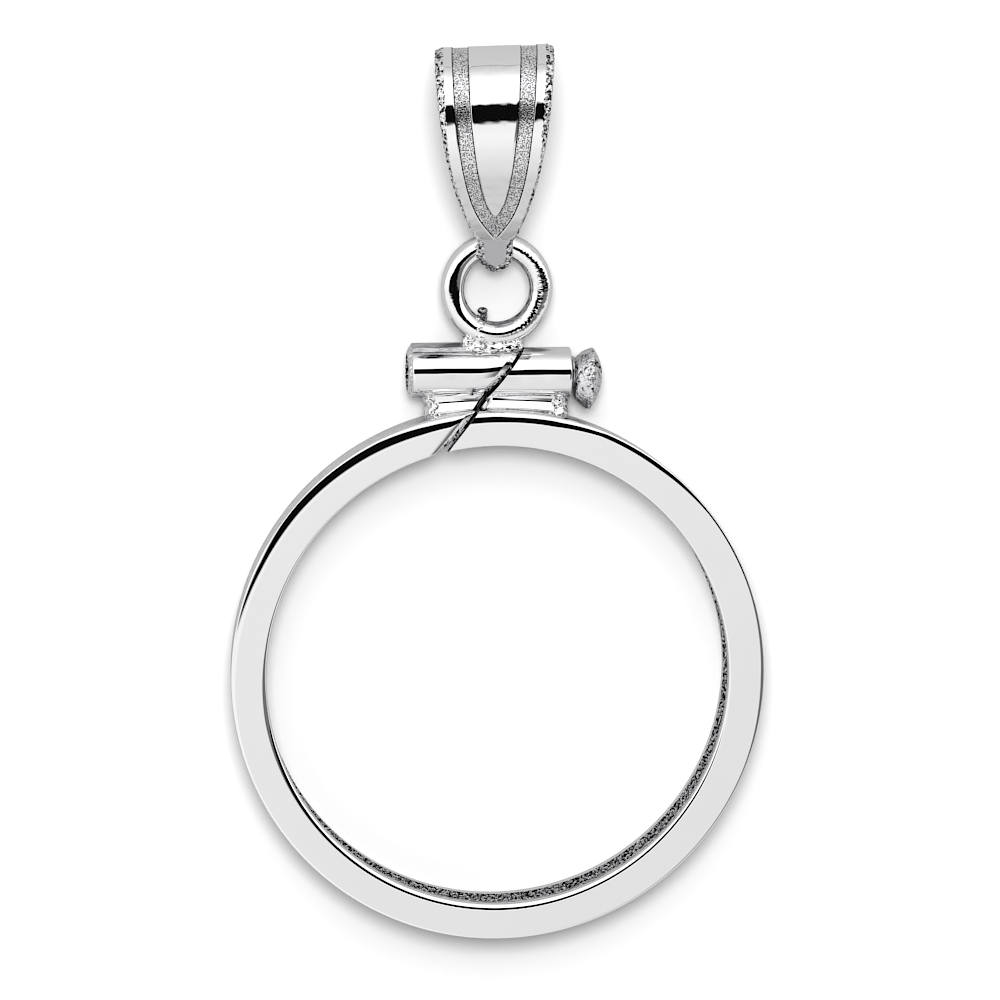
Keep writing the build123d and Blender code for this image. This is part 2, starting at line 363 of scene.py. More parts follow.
# Rows stand parallel to the saw cut at both ends, at these distances back from it in millimetres, and
# blend into each other round the hoop. The left end's front edge rolls over to a filed chamfer, and its
# inner corner is filed back too. The chamfer is the first three rows of faces.
chamfer_rows = 3
end_steps = [0.0, 0.09, 0.185, 0.19, 0.195, 0.21, 0.225, 0.24, 0.26, 0.28, 0.3, 0.32, 0.35, 0.4, 0.5]
worked_depth = 0.25 * MM
worked_fade = 0.2 * MM
roll_over = 0.07 * MM
roll_reach = 0.36 * MM
corner_break = 0.12 * MM
corner_break_length = 0.36 * MM
corner_break_width = 0.4 * MM
rows = []
last_step = len(end_steps) - 1
row_count = 2 * len(end_steps) + hoop_steps
for i in range(row_count):
    share = clamped((i - last_step) / (hoop_steps + 1))
    left_back = end_steps[min(i, last_step)] * MM
    right_back = end_steps[min(row_count - 1 - i, last_step)] * MM
    hoop_angle = degrees(saw_angle(ring_radius, 0)) + 360 * share
    section, section_finishes = ring_section(hoop_angle % 360)
    row = []
    for radius, height in section:
        start = saw_angle(radius, saw_left - left_back)
        stop = saw_angle(radius, saw_right + right_back) + 2 * pi
        angle = start + (stop - start) * share
        if share == 0.0:
            front = clamped((height - ring_height + worked_depth) / worked_fade)
            drop = chamfer_drop * max(0.0, 1 - left_back / chamfer)
            drop += roll_over * max(0.0, 1 - left_back / roll_reach) ** 2
            height = height - drop * front
            nicked = max(0.0, 1 - left_back / corner_break_length) ** 2
            near_window = max(0.0, 1 - (radius - window_radius) / corner_break_width)
            radius = radius + corner_break * nicked * near_window
        x = radius * cos(angle) * spring_x + spring_shift_x
        y = radius * sin(angle) * spring_y + spring_shift_y
        row.append((x, y, height))
    rows.append(row)

columns = len(rows[0])
faces = woven_faces(len(rows), columns)
face_finishes = [section_finishes[i % columns] for i in range(len(faces))]
for i in range(chamfer_rows * columns):
    if section_finishes[i % columns] < 2 and rows[0][i % columns][2] > ring_height - worked_depth:
        face_finishes[i] = 4
faces += end_caps(len(rows), columns)
face_finishes += [3, 3]
ring_finishes = [polished_plate, filed_wall, drawn_skin, sawn_face, filed_end]
channel_ring = make_piece("channel_ring", rows, faces, ring_finishes, face_finishes)
place_piece(channel_ring, "frame", "bezel_frame")


# Barrel: two short tubes of the same white gold, one on each side of the saw cut, bored for the screw.
# They are polished with the ring, but the cut stays as sawn and the outer ends as filed, the left one
# keeps a dull strip along its top, and solder has crept up their undersides.
barrel_radius = 0.865 * MM
bore_radius = 0.62 * MM
barrel_left = -2.82 * MM
barrel_right = 2.56 * MM
rim_rounding = 0.08 * MM
left_lift = 0.03 * MM
right_lift = -0.045 * MM
strip_height = 0.12 * MM
end_bulge = 0.12 * MM
end_grains = 7
end_roughness = 0.25

# The dull strip's edges on the left half, in degrees from the front round to the bail's side, and the
# groove along its lower edge
strip_low = 54
strip_high = 140
strip_low_slope = 9
strip_high_slope = 20
groove_low = 51
groove_high = 54.5
groove_depth = 0.03 * MM

# Distances back from the cut, in millimetres, at which the barrel's skin has points
barrel_end_steps = [0.5, 0.42, 0.37, 0.33, 0.3, 0.27, 0.25, 0.23, 0.215, 0.205, 0.19, 0.185, 0.09, 0.0]
barrel_roll = 0.055 * MM
barrel_roll_reach = 0.6 * MM
barrel_turns = 288

# Two shaders share the barrel: the plate above, whose reflections wander, and a crust of solder grains
# below with a ragged border, which climbs higher at the left end. The crust's hollows hold painted shade.
barrel_finish, tree, shader = white_gold("rhodium_plate_on_barrel", "#f1f1f2", 0.045)
place = object_place(tree)
relief(tree, shader, grain(tree, place, 1.3 * MM, 0.6), 0.05 * MM)
crust = add_node(tree, "ShaderNodeBsdfPrincipled", {"Metallic": 1.0, "Roughness": 0.15})
pitted_and_shaded(tree, crust, place, "#fafafb", "#9c9c9f", 0.1 * MM, 0.022 * MM, 0.24)
axes = add_node(tree, "ShaderNodeSeparateXYZ", {"Vector": place})
ragged = add_node(
    tree, "ShaderNodeTexNoise", {"Vector": place, "Scale": 1 / (0.3 * MM), "Detail": 3.0, "Roughness": 0.7}
)
ragged_y = calculate(tree, "MULTIPLY_ADD", ragged.outputs["Fac"], 0.35 * MM, axes.outputs["Y"])
climb = share_between(tree, axes.outputs["X"], -2.5 * MM, -1.7 * MM, 0.22 * MM, 0.0)
under_edge = calculate(tree, "SUBTRACT", ragged_y, climb)
crust_edge = barrel_y - 0.53 * MM
crusted = share_between(tree, under_edge, crust_edge, crust_edge + 0.04 * MM, 1.0, 0.0)
both = add_node(
    tree, "ShaderNodeMixShader", {0: crusted, 1: shader.outputs["BSDF"], 2: crust.outputs["BSDF"]}
)
tree.links.new(both.outputs["Shader"], tree.nodes["Material Output"].inputs["Surface"])

# The dull strip on the left half's top: filed, grey and finely lined along the barrel, with painted shade
# in its hollows
dull_strip, tree, shader = white_gold("white_gold_filed_strip", "#c4c4c6", 0.2)
pitted_and_shaded(tree, shader, object_place(tree), "#cdcdcf", "#a6a6a9", 0.09 * MM, 0.004 * MM, 0.4, (0.2, 1, 1))


def saw_reach(y, side):
    """Where along the barrel the saw cut's side lies at a height in y."""
    return saw_x + (y - barrel_y) / tan(saw_slant) + side / sin(saw_slant)


def barrel_half(name, end_x, toward_cut, cut_side, lift, strip, bulge):
    """A tube from its square end to the slanting cut. Only the left half has a proud strip, a bulging end
    and a chamfer along the cut, before which it rolls over."""
    is_left = strip > 0
    rim = [(1 - cos(t), 1 - sin(t)) for t in np.linspace(0, pi / 2, 7)]
    rows = []
    strip_rows = []
    for k in range(barrel_turns):
        turn = 2 * pi * k / barrel_turns
        facing = 90 - degrees(turn) if k <= barrel_turns * 0.75 else 450 - degrees(turn)
        on_strip = is_left and strip_low < facing < strip_high
        skin = barrel_radius
        if on_strip:
            slopes = (facing - strip_low) / strip_low_slope, (strip_high - facing) / strip_high_slope
            skin = barrel_radius + strip * min(1.0, *slopes)
        if is_left and groove_low < facing < groove_high:
            skin -= groove_depth
        strip_rows.append(on_strip)
        row = []

        def put(radius, along, from_cut):
            """Adds a point to the row, a way in from the tube's end or back from the saw cut."""
            y = barrel_y + lift + radius * cos(turn)
            z = mid_z + radius * sin(turn)
            x = end_x + toward_cut * along
            if from_cut:
                x = saw_reach(y, cut_side) - toward_cut * along / sin(saw_slant)
            row.append((x, y, z))

        for step in (0.0, 0.35, 0.7, 1.0):
            radius = bore_radius + (skin - rim_rounding - bore_radius) * step
            rough = noise.noise(Vector((cos(turn), sin(turn), step)) * end_grains) * end_roughness
            put(radius, -bulge * (1 - step**2 + rough * (step < 1)), False)
        for drop, along in reversed(rim[:-1]):
            put(skin - rim_rounding * drop, rim_rounding * along, False)
        put(skin, rim_rounding * 1.3, False)
        front_x = row[-1][0]
        far_x = saw_reach(row[-1][1], cut_side) - toward_cut * barrel_roll_reach / sin(saw_slant)
        for share in np.linspace(0, 1, 26)[1:-1]:
            row.append((front_x + (far_x - front_x) * share, row[-1][1], row[-1][2]))
        for step in barrel_end_steps:
            left = step * MM
            drop = 0.0
            if is_left:
                drop = barrel_roll * max(0.0, 1 - left / barrel_roll_reach) ** 2
                drop += chamfer_drop * max(0.0, 1 - left / chamfer)
            put(skin - drop, left, True)
        put(bore_radius, 0.0, True)
        put(bore_radius, chamfer, True)
        rows.append(row)
    columns = len(rows[0])
    faces = woven_faces(barrel_turns, columns, closed_rows=True)
    ends = (0, 1, 2, columns - 3, columns - 2, columns - 1)
    face_finishes = []
    for i in range(len(faces)):
        column = i % columns
        if column in ends:
            face_finishes.append(1 if column > 2 else 3)
        elif is_left and column in (columns - 4, columns - 5):
            face_finishes.append(3)
        else:
            face_finishes.append(2 if strip_rows[i // columns] else 0)
    finishes = [barrel_finish, sawn_face, dull_strip, filed_end]
    return make_piece(name, rows, faces, finishes, face_finishes, 40)


barrel_halves = [
    barrel_half("barrel_left_half", barrel_left, 1, saw_left, left_lift, strip_height, end_bulge),
    barrel_half("barrel_right_half", barrel_right, -1, saw_right, right_lift, 0.0, 0.0),
]
for half in barrel_halves:
    place_piece(half, "frame", "bezel_frame")


# Solder: silver solder that was flowed under each barrel half and stands as a smooth, waisted saddle on
# the ring, with rough lumps where it ran out at the ends. More of it holds the jump ring's foot, and a
# streak ran up the wire.
saddle_left = -2.1 * MM
saddle_right = 2.15 * MM
saddle_top = 9.55 * MM
saddle_root = 0.25 * MM
saddle_flare = 0.25 * MM
saddle_levels = 90
saddle_turns = 120
end_flatness = 1.04

# Half the saddle's depth on its way from the ring's wall into the barrel: share of the way, millimetres
saddle_waist = [
    (0, 0.92), (0.27, 0.9), (0.3, 0.78), (0.333, 0.69), (0.367, 0.64), (0.456, 0.59), (0.522, 0.553),
    (0.578, 0.522), (0.611, 0.507), (0.65, 0.5), (0.72, 0.5), (0.83, 0.52), (1, 0.6),
]

# Solder over polished metal: bright, with coarse, soft grains and sparse hollows darkened by painted shade
crusted_solder, tree, shader = white_gold("silver_solder_crusted", "#f2f2f2", 0.12)
place = object_place(tree)
lumps = relief(tree, shader, grain(tree, place, 0.22 * MM, 0.0), 0.035 * MM)
pitted_and_shaded(tree, shader, place, "#fbfbfb", "#9a9a9c", 0.14 * MM, 0.02 * MM, 0.2, detail=1.0, under=lumps)


def saddle_half(name, end_x, toward_cut, cut_side):
    """Rounded oblong levels from the ring's wall up into the barrel, waisted like a drawn-up fluid."""
    rows = []
    for level in np.linspace(0, 1, saddle_levels):
        half_depth = np.interp(level, *zip(*saddle_waist)) * MM
        row = []
        for k in range(saddle_turns):
            turn = 2 * pi * k / saddle_turns
            square = max(abs(cos(turn)), abs(sin(turn))) ** 0.5
            across, deep = cos(turn) / square, sin(turn) / square
            x = end_x
            for closer_guess in range(2):
                low = sqrt(ring_radius**2 - x**2) - saddle_root
                y = low + (saddle_top - low) * level
                outer_x = end_x - toward_cut * saddle_flare * (2 * level - 1) ** 2
                cut_x = saw_reach(y, cut_side)
                end_share = max(-1.0, min(1.0, across * end_flatness))
                x = (outer_x + cut_x) / 2 + (cut_x - outer_x) / 2 * end_share
            row.append((x, y, mid_z + half_depth * deep))
        rows.append(row)
    faces = woven_faces(len(rows), saddle_turns)
    faces += end_caps(len(rows), saddle_turns)
    return make_piece(name, rows, faces, [polished_plate], [0] * len(faces), 50)


def modified_mesh(piece):
    """A new mesh of the piece with its modifiers applied, which are then removed."""
    shaped = bpy.data.meshes.new_from_object(piece.evaluated_get(bpy.context.evaluated_depsgraph_get()))
    piece.modifiers.clear()
    return shaped


def solder_mass(name, balls, coarseness, grain_size, seed, cut_side=None):
    """Runs balls of solder together, roughens them and trims them at the saw cut. Lengths are in mm."""
    body = bmesh.new()
    for centre, reach in balls:
        made = bmesh.ops.create_icosphere(body, subdivisions=4, radius=1.0)
        for vertex in made["verts"]:
            vertex.co = Vector([(c + r * w) * MM for c, r, w in zip(centre, reach, vertex.co)])
    mesh = bpy.data.meshes.new(name)
    body.to_mesh(mesh)
    body.free()
    piece = add_object(name, mesh)
    fused = piece.modifiers.new("fused", "REMESH")
    fused.mode = "VOXEL"
    fused.voxel_size = 0.022 * MM
    shaped = modified_mesh(piece)
    piece.data = shaped
    shift = Vector((seed * 3.7, seed * 1.3, seed * 2.1))
    moves = []
    for vertex in shaped.vertices:
        rough = noise.fractal(vertex.co / (grain_size * MM) + shift, 0.9, 2.1, 2)
        moves.append(vertex.co + vertex.normal * rough * coarseness * MM)
    for vertex, spot in zip(shaped.vertices, moves):
        if cut_side is not None:
            limit = saw_reach(spot.y, cut_side)
            spot.x = min(spot.x, limit) if cut_side < 0 else max(spot.x, limit)
        vertex.co = spot
    shaped.materials.append(crusted_solder)
    shaped.shade_smooth()
    return piece


solder_pieces = [
    saddle_half("saddle_left_half", saddle_left, 1, saw_left),
    saddle_half("saddle_right_half", saddle_right, -1, saw_right),
    solder_mass(
        "saddle_lump_left",
        [
            ((-2.02, 9.02, 1.15), (0.22, 0.3, 0.5)),
            ((-2.2, 9.25, 1.2), (0.2, 0.2, 0.4)),
            ((-2.14, 8.8, 1.15), (0.24, 0.3, 0.55)),
        ],
        0.035, 0.16, 1,
    ),
    solder_mass(
        "saddle_lump_right",
        [
            ((2.1, 9.1, 1.2), (0.36, 0.27, 0.46)),
            ((2.22, 8.8, 1.15), (0.24, 0.36, 0.55)),
            ((1.7, 8.96, 1.15), (0.34, 0.12, 0.34)),
        ],
        0.035, 0.16, 2,
    ),
    solder_mass(
        "solder_foot",
        [
            ((-0.6, 10.98, 1.2), (0.58, 0.3, 0.5)),
            ((-0.1, 10.97, 1.2), (0.8, 0.28, 0.48)),
            ((0.52, 11.0, 1.2), (0.5, 0.26, 0.48)),
            ((-0.9, 11.16, 1.3), (0.24, 0.24, 0.38)),
            ((0.72, 11.18, 1.35), (0.2, 0.14, 0.3)),
        ],
        0.035, 0.22, 3, saw_left,
    ),
    solder_mass(
        "solder_streak",
        [
            ((-0.5, 11.35, 1.42), (0.27, 0.3, 0.34)),
            ((-0.56, 11.66, 1.45), (0.24, 0.3, 0.27)),
            ((-0.62, 11.95, 1.35), (0.13, 0.14, 0.22)),
        ],
        0.03, 0.14, 4,
    ),
]
for piece in solder_pieces:
    place_piece(piece, "frame", "bezel_frame")


# Jump ring: a ring of round white gold wire, closed and soldered upright on the foot, so that it stands
# in the bezel's plane. It is polished by hand, which left scratches on its right side, and its inner side
# is rough.
jump_wire = 0.78 * MM
jump_radius = 1.49 * MM
jump_x = 0.07 * MM
jump_y = frame_high.y - jump_wire / 2 - jump_radius

# It leans: the bail's end is lower than the foot's, and its left side leans more than its right
lean_left = tan(radians(6.5))
lean_right = tan(radians(3.6))
lean_pivot = 0.9 * MM
wire_unevenness = 0.01 * MM
uneven_length = 0.9 * MM
ring_turns = 320
wire_turns = 120

# The inner side is where the wire faces its ring's middle: the cosine of the angle from facing outwards
inner_side_edge = -0.86

# Polished wire, scratched across on its right side
polished_wire, tree, shader = white_gold("rhodium_plate_on_wire", "#f1f1f2", 0.05)
place = object_place(tree)
wander = relief(tree, shader, grain(tree, place, 0.9 * MM, 1.0), 0.012 * MM)
across = add_node(tree, "ShaderNodeSeparateXYZ", {"Vector": place}).outputs["X"]
scratch_depth = share_between(
    tree, across, jump_x + 0.2 * MM, jump_x + 0.9 * MM, 0.003 * MM, 0.022 * MM
)
round_wire_place = hoop_place(tree, jump_x, jump_y, jump_radius)
scratches = grain(tree, round_wire_place, 0.15 * MM, 2.0, (1, 0.4, 0.4))
relief(tree, shader, scratches, scratch_depth, wander)

# The wire's inner side is as it was drawn and soldered: dull, with streaks along it whose hollows are
# darkened by painted shade
drawn_wire, tree, shader = white_gold("white_gold_drawn_wire", "#a8a8aa", 0.25)
round_wire_place = hoop_place(tree, jump_x, jump_y, jump_radius)
pitted_and_shaded(tree, shader, round_wire_place, "#c6c6c9", "#505053", 0.09 * MM, 0.05 * MM, 0.4, (0.4, 1, 1))

rows = []
for i in range(ring_turns):
    turn = 2 * pi * i / ring_turns
    row = []
    for k in range(wire_turns):
        round_wire = 2 * pi * k / wire_turns
        outward = Vector((cos(turn) * cos(round_wire), sin(turn) * cos(round_wire), sin(round_wire)))
        spot = Vector((cos(turn), sin(turn), 0)) * jump_radius + outward * jump_wire / 2
        spot += outward * noise.noise(spot / uneven_length) * wire_unevenness
        rightward = clamped(spot.x / (2 * jump_radius) + 0.5)
        lean = lean_left + (lean_right - lean_left) * rightward
        spot.z -= (spot.y - lean_pivot) * lean
        row.append(spot + Vector((jump_x, jump_y, mid_z)))
    rows.append(row)
faces = woven_faces(ring_turns, wire_turns, closed_rows=True)
wire_facing = [cos(2 * pi * (i % wire_turns + 0.5) / wire_turns) for i in range(len(faces))]
inner_side = [int(facing < inner_side_edge) for facing in wire_facing]
jump_ring = make_piece("jump_ring", rows, faces, [polished_wire, drawn_wire], inner_side)

# The spur is the wire's cut end, which stands inside the ring
spur_balls = [((-0.36, 12.0, 1.2), (0.13, 0.2, 0.18)), ((-0.4, 12.2, 1.2), (0.18, 0.12, 0.18))]
spur = solder_mass("wire_spur", spur_balls, 0.012, 0.2, 5)
spur.data.materials[0] = drawn_wire
for piece in (jump_ring, spur):
    place_piece(piece, "frame", "bezel_frame")


# Screw: cast white gold, left as cast with a satin, pitted skin. A threaded shank runs through the
# barrel, and the cone head ends in a dome with a slot for the blade.
thread_radius = 0.58 * MM
thread_depth = 0.09 * MM
thread_pitch = 0.25 * MM
tip_x = screw_low.x
head_x = 2.68 * MM
cone_end_x = 3.26 * MM
dome_end_x = screw_high.x
head_small = 0.7 * MM
head_bevel = 0.03 * MM
bevel_drop = 0.02 * MM
head_large = (screw_high.y - screw_low.y) / 2
slot_width = 0.26 * MM
slot_reach = 2 * head_large
slot_depth = 0.3 * MM
slot_turn = radians(48)
parting_line = 0.02 * MM
parting_turn = 82
parting_half_width = 4
cast_grain = 0.16 * MM
cast_roughness = 0.02 * MM
ripple_length = 0.07 * MM
ripple_depth = 0.006 * MM
head_y = barrel_y - 0.25 * MM
rim_lean = 0.07
screw_sides = 96
shank_steps = 240

# The head: satin with deep pits as the casting left it, which painted shade darkens
as_cast, tree, shader = white_gold("white_gold_as_cast", "#c9c9ca", 0.2)
place = object_place(tree)
lumps = relief(tree, shader, grain(tree, place, 0.25 * MM, 0.0, (1.6, 1, 1)), 0.03 * MM)
pitted_and_shaded(tree, shader, place, "#e4e4e6", "#4c4c4f", 0.11 * MM, 0.045 * MM, 0.24, under=lumps)

# The thread: bright from cutting
cut_thread, tree, shader = white_gold("white_gold_cut_thread", "#b4b4b6", 0.2)
relief(tree, shader, grain(tree, object_place(tree), 0.06 * MM), 0.01 * MM)

rows = []
for i in range(shank_steps + 1):
    x = tip_x + (head_x - tip_x) * i / shank_steps
    row = []
    for k in range(screw_sides):
        turn = 2 * pi * k / screw_sides
        phase = ((x - tip_x) / thread_pitch - k / screw_sides) % 1.0
        crest = max(0.0, 1 - abs(phase - 0.5) * 3)
        fade = min(1.0, (x - tip_x) / thread_pitch, (head_x - x) / thread_pitch + 0.2)
        radius = thread_radius - thread_depth * (1 - crest * fade)
        row.append((x, barrel_y + radius * cos(turn), mid_z + radius * sin(turn)))
    rows.append(row)
head_profile = [(head_x, thread_radius * 0.9), (head_x + head_bevel / 3, head_small - bevel_drop)]
for share in np.linspace(0, 1, 24):
    swell = head_small + (head_large - head_small) * sin(share * pi / 2) ** 0.92
    head_profile.append((head_x + head_bevel + (cone_end_x - head_x - head_bevel) * share, swell))
dome_height = dome_end_x - cone_end_x
dome_sphere = (head_large**2 + dome_height**2) / (2 * dome_height)
dome_angle = asin(head_large / dome_sphere)
for share in np.linspace(0.965, 0.02, 30):
    angle = dome_angle * share
    head_profile.append((dome_end_x - dome_sphere * (1 - cos(angle)), dome_sphere * sin(angle)))
for x, radius in head_profile:
    row = []
    for k in range(screw_sides):
        turn = 2 * pi * k / screw_sides
        seam_share = max(0.0, 1 - abs(degrees(turn) - parting_turn) / parting_half_width)
        seam = parting_line * seam_share * (x < cone_end_x)
        spot = Vector((x, radius * cos(turn), radius * sin(turn)))
        rough = noise.fractal(spot / cast_grain, 0.8, 2.0, 2)
        ripple = noise.noise(Vector((x / ripple_length, cos(turn), sin(turn)))) * ripple_depth
        outward = clamped((x - head_x) / (cone_end_x - head_x))
        skin = radius + seam + ripple + rough * cast_roughness * outward
        y = skin * cos(turn)
        row.append((x + y * rim_lean * outward, head_y + y, mid_z + skin * sin(turn)))
    rows.append(row)
faces = woven_faces(len(rows), screw_sides)
face_finishes = [1 if i // screw_sides < shank_steps else 0 for i in range(len(faces))]
faces += end_caps(len(rows), screw_sides)
face_finishes += [1, 0]
bezel_screw = make_piece("bezel_screw", rows, faces, [as_cast, cut_thread], face_finishes, 40)

# The slot is cut with a block, which lies turned across the head
rows = []
for x in (dome_end_x - slot_depth, dome_end_x + slot_depth):
    row = []
    for end, wall in ((-1, -1), (1, -1), (1, 1), (-1, 1)):
        along, across = end * slot_reach, wall * slot_width / 2
        y = head_y + along * cos(slot_turn) - across * sin(slot_turn)
        row.append((x, y, mid_z + along * sin(slot_turn) + across * cos(slot_turn)))
    rows.append(row)
cutter_faces = [(0, 1, 2, 3), (4, 5, 6, 7), (0, 1, 5, 4), (1, 2, 6, 5), (2, 3, 7, 6), (3, 0, 4, 7)]
cutter = make_piece("slot_cutter", rows, cutter_faces, [sawn_face], [0] * 6)


def cut_away(piece, tool):
    """Cuts the tool's shape out of a piece and removes the tool."""
    cut = piece.modifiers.new("cut", "BOOLEAN")
    cut.operation = "DIFFERENCE"
    cut.solver = "EXACT"
    cut.material_mode = "TRANSFER"
    cut.object = tool
    piece.data = modified_mesh(piece)
    piece.data.set_sharp_from_angle(angle=radians(40))
    bpy.data.objects.remove(tool)


cut_away(bezel_screw, cutter)
place_piece(bezel_screw, "screw", "screw")


# Bail: a cast white gold loop that hangs on the jump ring, wide at the chain and narrow at the neck. Its
# front and back are polished plates with two sandblasted stripes that meet in a V, and its sides stay
# rough from the mould.
bail_sheet = 0.45 * MM
bail_length = 8.25 * MM
bail_half_depth = 2.3 * MM
top_radius = 2.0 * MM
shoulder_radius = 3.1 * MM
neck_radius = 1.0 * MM
bail_x = 0.03 * MM
bail_roll = radians(5)
bail_turn = radians(1.8)
bail_neck_y = 14.285 * MM
stripe_depth = 0.03 * MM
rim_drop = 0.07 * MM
bail_step = 0.045 * MM
top_skew = 0.032
skew_start = 2.0 * MM
skew_length = 3.0 * MM
stripe_wall_width = 0.035 * MM
stripe_fade = 0.12 * MM
point_fade = 0.04 * MM
face_edge = 0.012 * MM
rim_step = 0.006 * MM
brow_width = 0.05 * MM
brow_drop = 0.07 * MM
sway_length = 0.14 * MM
sway_width = 0.03 * MM
mould_roughness = 0.035 * MM
mould_grain_across = 0.11 * MM
mould_grain_up = 0.13 * MM
least_edge = 0.02 * MM
tongue_bend = 0.11
bend_low = 1.2 * MM
bend_high = 2.5 * MM
tongue_end = 1.25 * MM

top_angle = asin((shoulder_radius - bail_half_depth) / (shoulder_radius - top_radius))
top_y = bail_length - neck_radius - top_radius
shoulder_y = top_y - (shoulder_radius - top_radius) * cos(top_angle)
shoulder_z = bail_half_depth - shoulder_radius
plate_chord = hypot(shoulder_y, shoulder_z)
plate_length = sqrt(plate_chord**2 - (shoulder_radius - neck_radius) ** 2)
plate_tilt = asin(shoulder_z / plate_chord)
plate_tilt += asin((shoulder_radius - neck_radius) / plate_chord)
shoulder_length = shoulder_radius * (pi / 2 - top_angle + plate_tilt)
top_length = top_radius * top_angle
neck_length = neck_radius * (pi / 2 - plate_tilt)
front_length = plate_length + shoulder_length

# The back plate lies on the table, and the roll brings one of its edges down
lying_half_width = 1.845 * MM
corner_drop = lying_half_width * sin(bail_roll)
centre_drop = -shoulder_z * cos(bail_roll) - corner_drop
floor_drop = shoulder_radius * cos(bail_roll) - mid_z
bail_rise = asin(floor_drop / hypot(shoulder_y, centre_drop)) - atan2(centre_drop, shoulder_y)
bail_place = (
    Matrix.Translation((bail_x, bail_neck_y, mid_z))
    @ Matrix.Rotation(bail_turn, 4, "Z")
    @ Matrix.Rotation(bail_rise, 4, "X")
    @ Matrix.Rotation(-bail_roll, 4, "Y")
)

# Half widths up the front, against the distance from the neck fold, all in millimetres: the whole bail,
# its polished face, and the outer and inner edge of a stripe
bail_outline = [
    (-1.3, 0.2), (-0.84, 0.25), (-0.6, 0.3), (-0.36, 0.37), (-0.19, 0.445), (0.03, 0.525), (0.3, 0.575),
    (1.03, 0.583), (1.14, 0.61), (1.39, 0.733), (1.75, 0.857), (2.11, 0.975), (2.47, 1.095), (2.92, 1.22),
    (3.55, 1.37), (3.91, 1.442), (4.58, 1.565), (5.18, 1.667), (5.73, 1.755), (6.26, 1.82), (6.79, 1.87),
    (7.34, 1.915), (7.93, 1.945), (8.6, 1.965), (9.0, 1.965),
]
bail_face = [
    (-0.12, 0.03), (0.0, 0.2), (0.12, 0.31), (0.3, 0.367), (1.03, 0.383), (1.16, 0.44), (1.43, 0.67),
    (2.11, 0.915), (2.92, 1.129), (3.91, 1.359), (4.58, 1.465), (5.18, 1.554), (6.26, 1.645), (7.34, 1.69),
    (8.38, 1.722), (9.0, 1.725),
]
stripe_outer = [
    (1.25, 0.0), (1.7, 0.27), (2.11, 0.5), (2.5, 0.66), (2.92, 0.797), (3.6, 0.95), (4.42, 1.085),
    (5.18, 1.191), (6.0, 1.285), (6.86, 1.355), (8.38, 1.424), (9.0, 1.427),
]
stripe_inner = [
    (2.31, 0.0), (2.56, 0.15), (2.92, 0.3), (3.5, 0.43), (4.22, 0.545), (5.18, 0.661), (6.0, 0.75),
    (6.86, 0.812), (8.38, 0.861), (9.0, 0.863),
]


def eased(table, along, spread):
    """Reads a table at a distance, averaged over a little way so that it has no corners."""
    steps = np.linspace(-spread, spread, 7)
    return float(np.mean(np.interp(along / MM + steps, *zip(*table)))) * MM


def front_profile(along):
    """The outer face's height, rise and facing angle at a distance up the front, in the bail's plane."""
    if along < 0:
        tilt = -plate_tilt + along / neck_radius
        return neck_radius * sin(tilt), neck_radius * cos(tilt), tilt
    if along < plate_length:
        tilt = -plate_tilt
        height = neck_radius * sin(tilt) + along * cos(tilt)
        return height, neck_radius * cos(tilt) - along * sin(tilt), tilt
    if along < front_length:
        tilt = -plate_tilt + (along - plate_length) / shoulder_radius
        height = shoulder_y + shoulder_radius * sin(tilt)
        return height, shoulder_z + shoulder_radius * cos(tilt), tilt
    tilt = pi / 2 - top_angle + (along - front_length) / top_radius
    return top_y + top_radius * sin(tilt), top_radius * cos(tilt), tilt


def right_half_section(along, sway):
    """Points from the outer face's middle round to the inner face's: across, depth and finish, which is
    0 polished, 1 frosted, 2 the mould's skin or 3 a stripe's wall."""
    half, face = eased(bail_outline, along, 0.1), eased(bail_face, along, 0.05)
    outer, inner = eased(stripe_outer, along, 0.1), eased(stripe_inner, along, 0.06)
    face = max(least_edge, min(face + sway, half - least_edge))
    outer = min(outer, face - least_edge / 2)
    inner = min(inner, outer)
    sunk = min(1.0, (outer - inner) / stripe_fade) * stripe_depth
    wall = min(stripe_wall_width, (outer - inner) / 4)
    apart = min(1.0, inner / point_fade)
    middle_depth = sunk * (1 - apart)
    inner_wall = wall * apart
    points = [(inner * step, middle_depth, 0) for step in np.linspace(0, 1, 9)[:-1]]
    points.append((inner, middle_depth, 3))
    points.append((inner + inner_wall, sunk, 1))
    points += [
        (inner + inner_wall + (outer - inner - inner_wall - wall) * step, sunk, 1)
        for step in np.linspace(0, 1, 9)[1:-1]
    ]
    points.append((outer - wall, sunk, 3))
    points += [(outer + (face - face_edge - outer) * step, 0.0, 0) for step in np.linspace(0, 1, 8)[:-1]]
    points.append((face - face_edge, 0.0, 2))
    brow = half - brow_width
    points += [
        (face + (brow - face) * step, rim_step + (rim_drop - rim_step) * step, 2)
        for step in np.linspace(0, 1, 11)
    ]
    points += [
        (brow + brow_width * sin(t), rim_drop + brow_drop * (1 - cos(t)), 2) for t in (0.5, 1.0, pi / 2)
    ]
    side_top = rim_drop + brow_drop
    points += [(half, side_top + (bail_sheet - side_top) * step, 2) for step in np.linspace(0, 1, 8)[1:]]
    points += [(half * (1 - step), bail_sheet, 0) for step in np.linspace(0, 1, 8)[1:]]
    return points


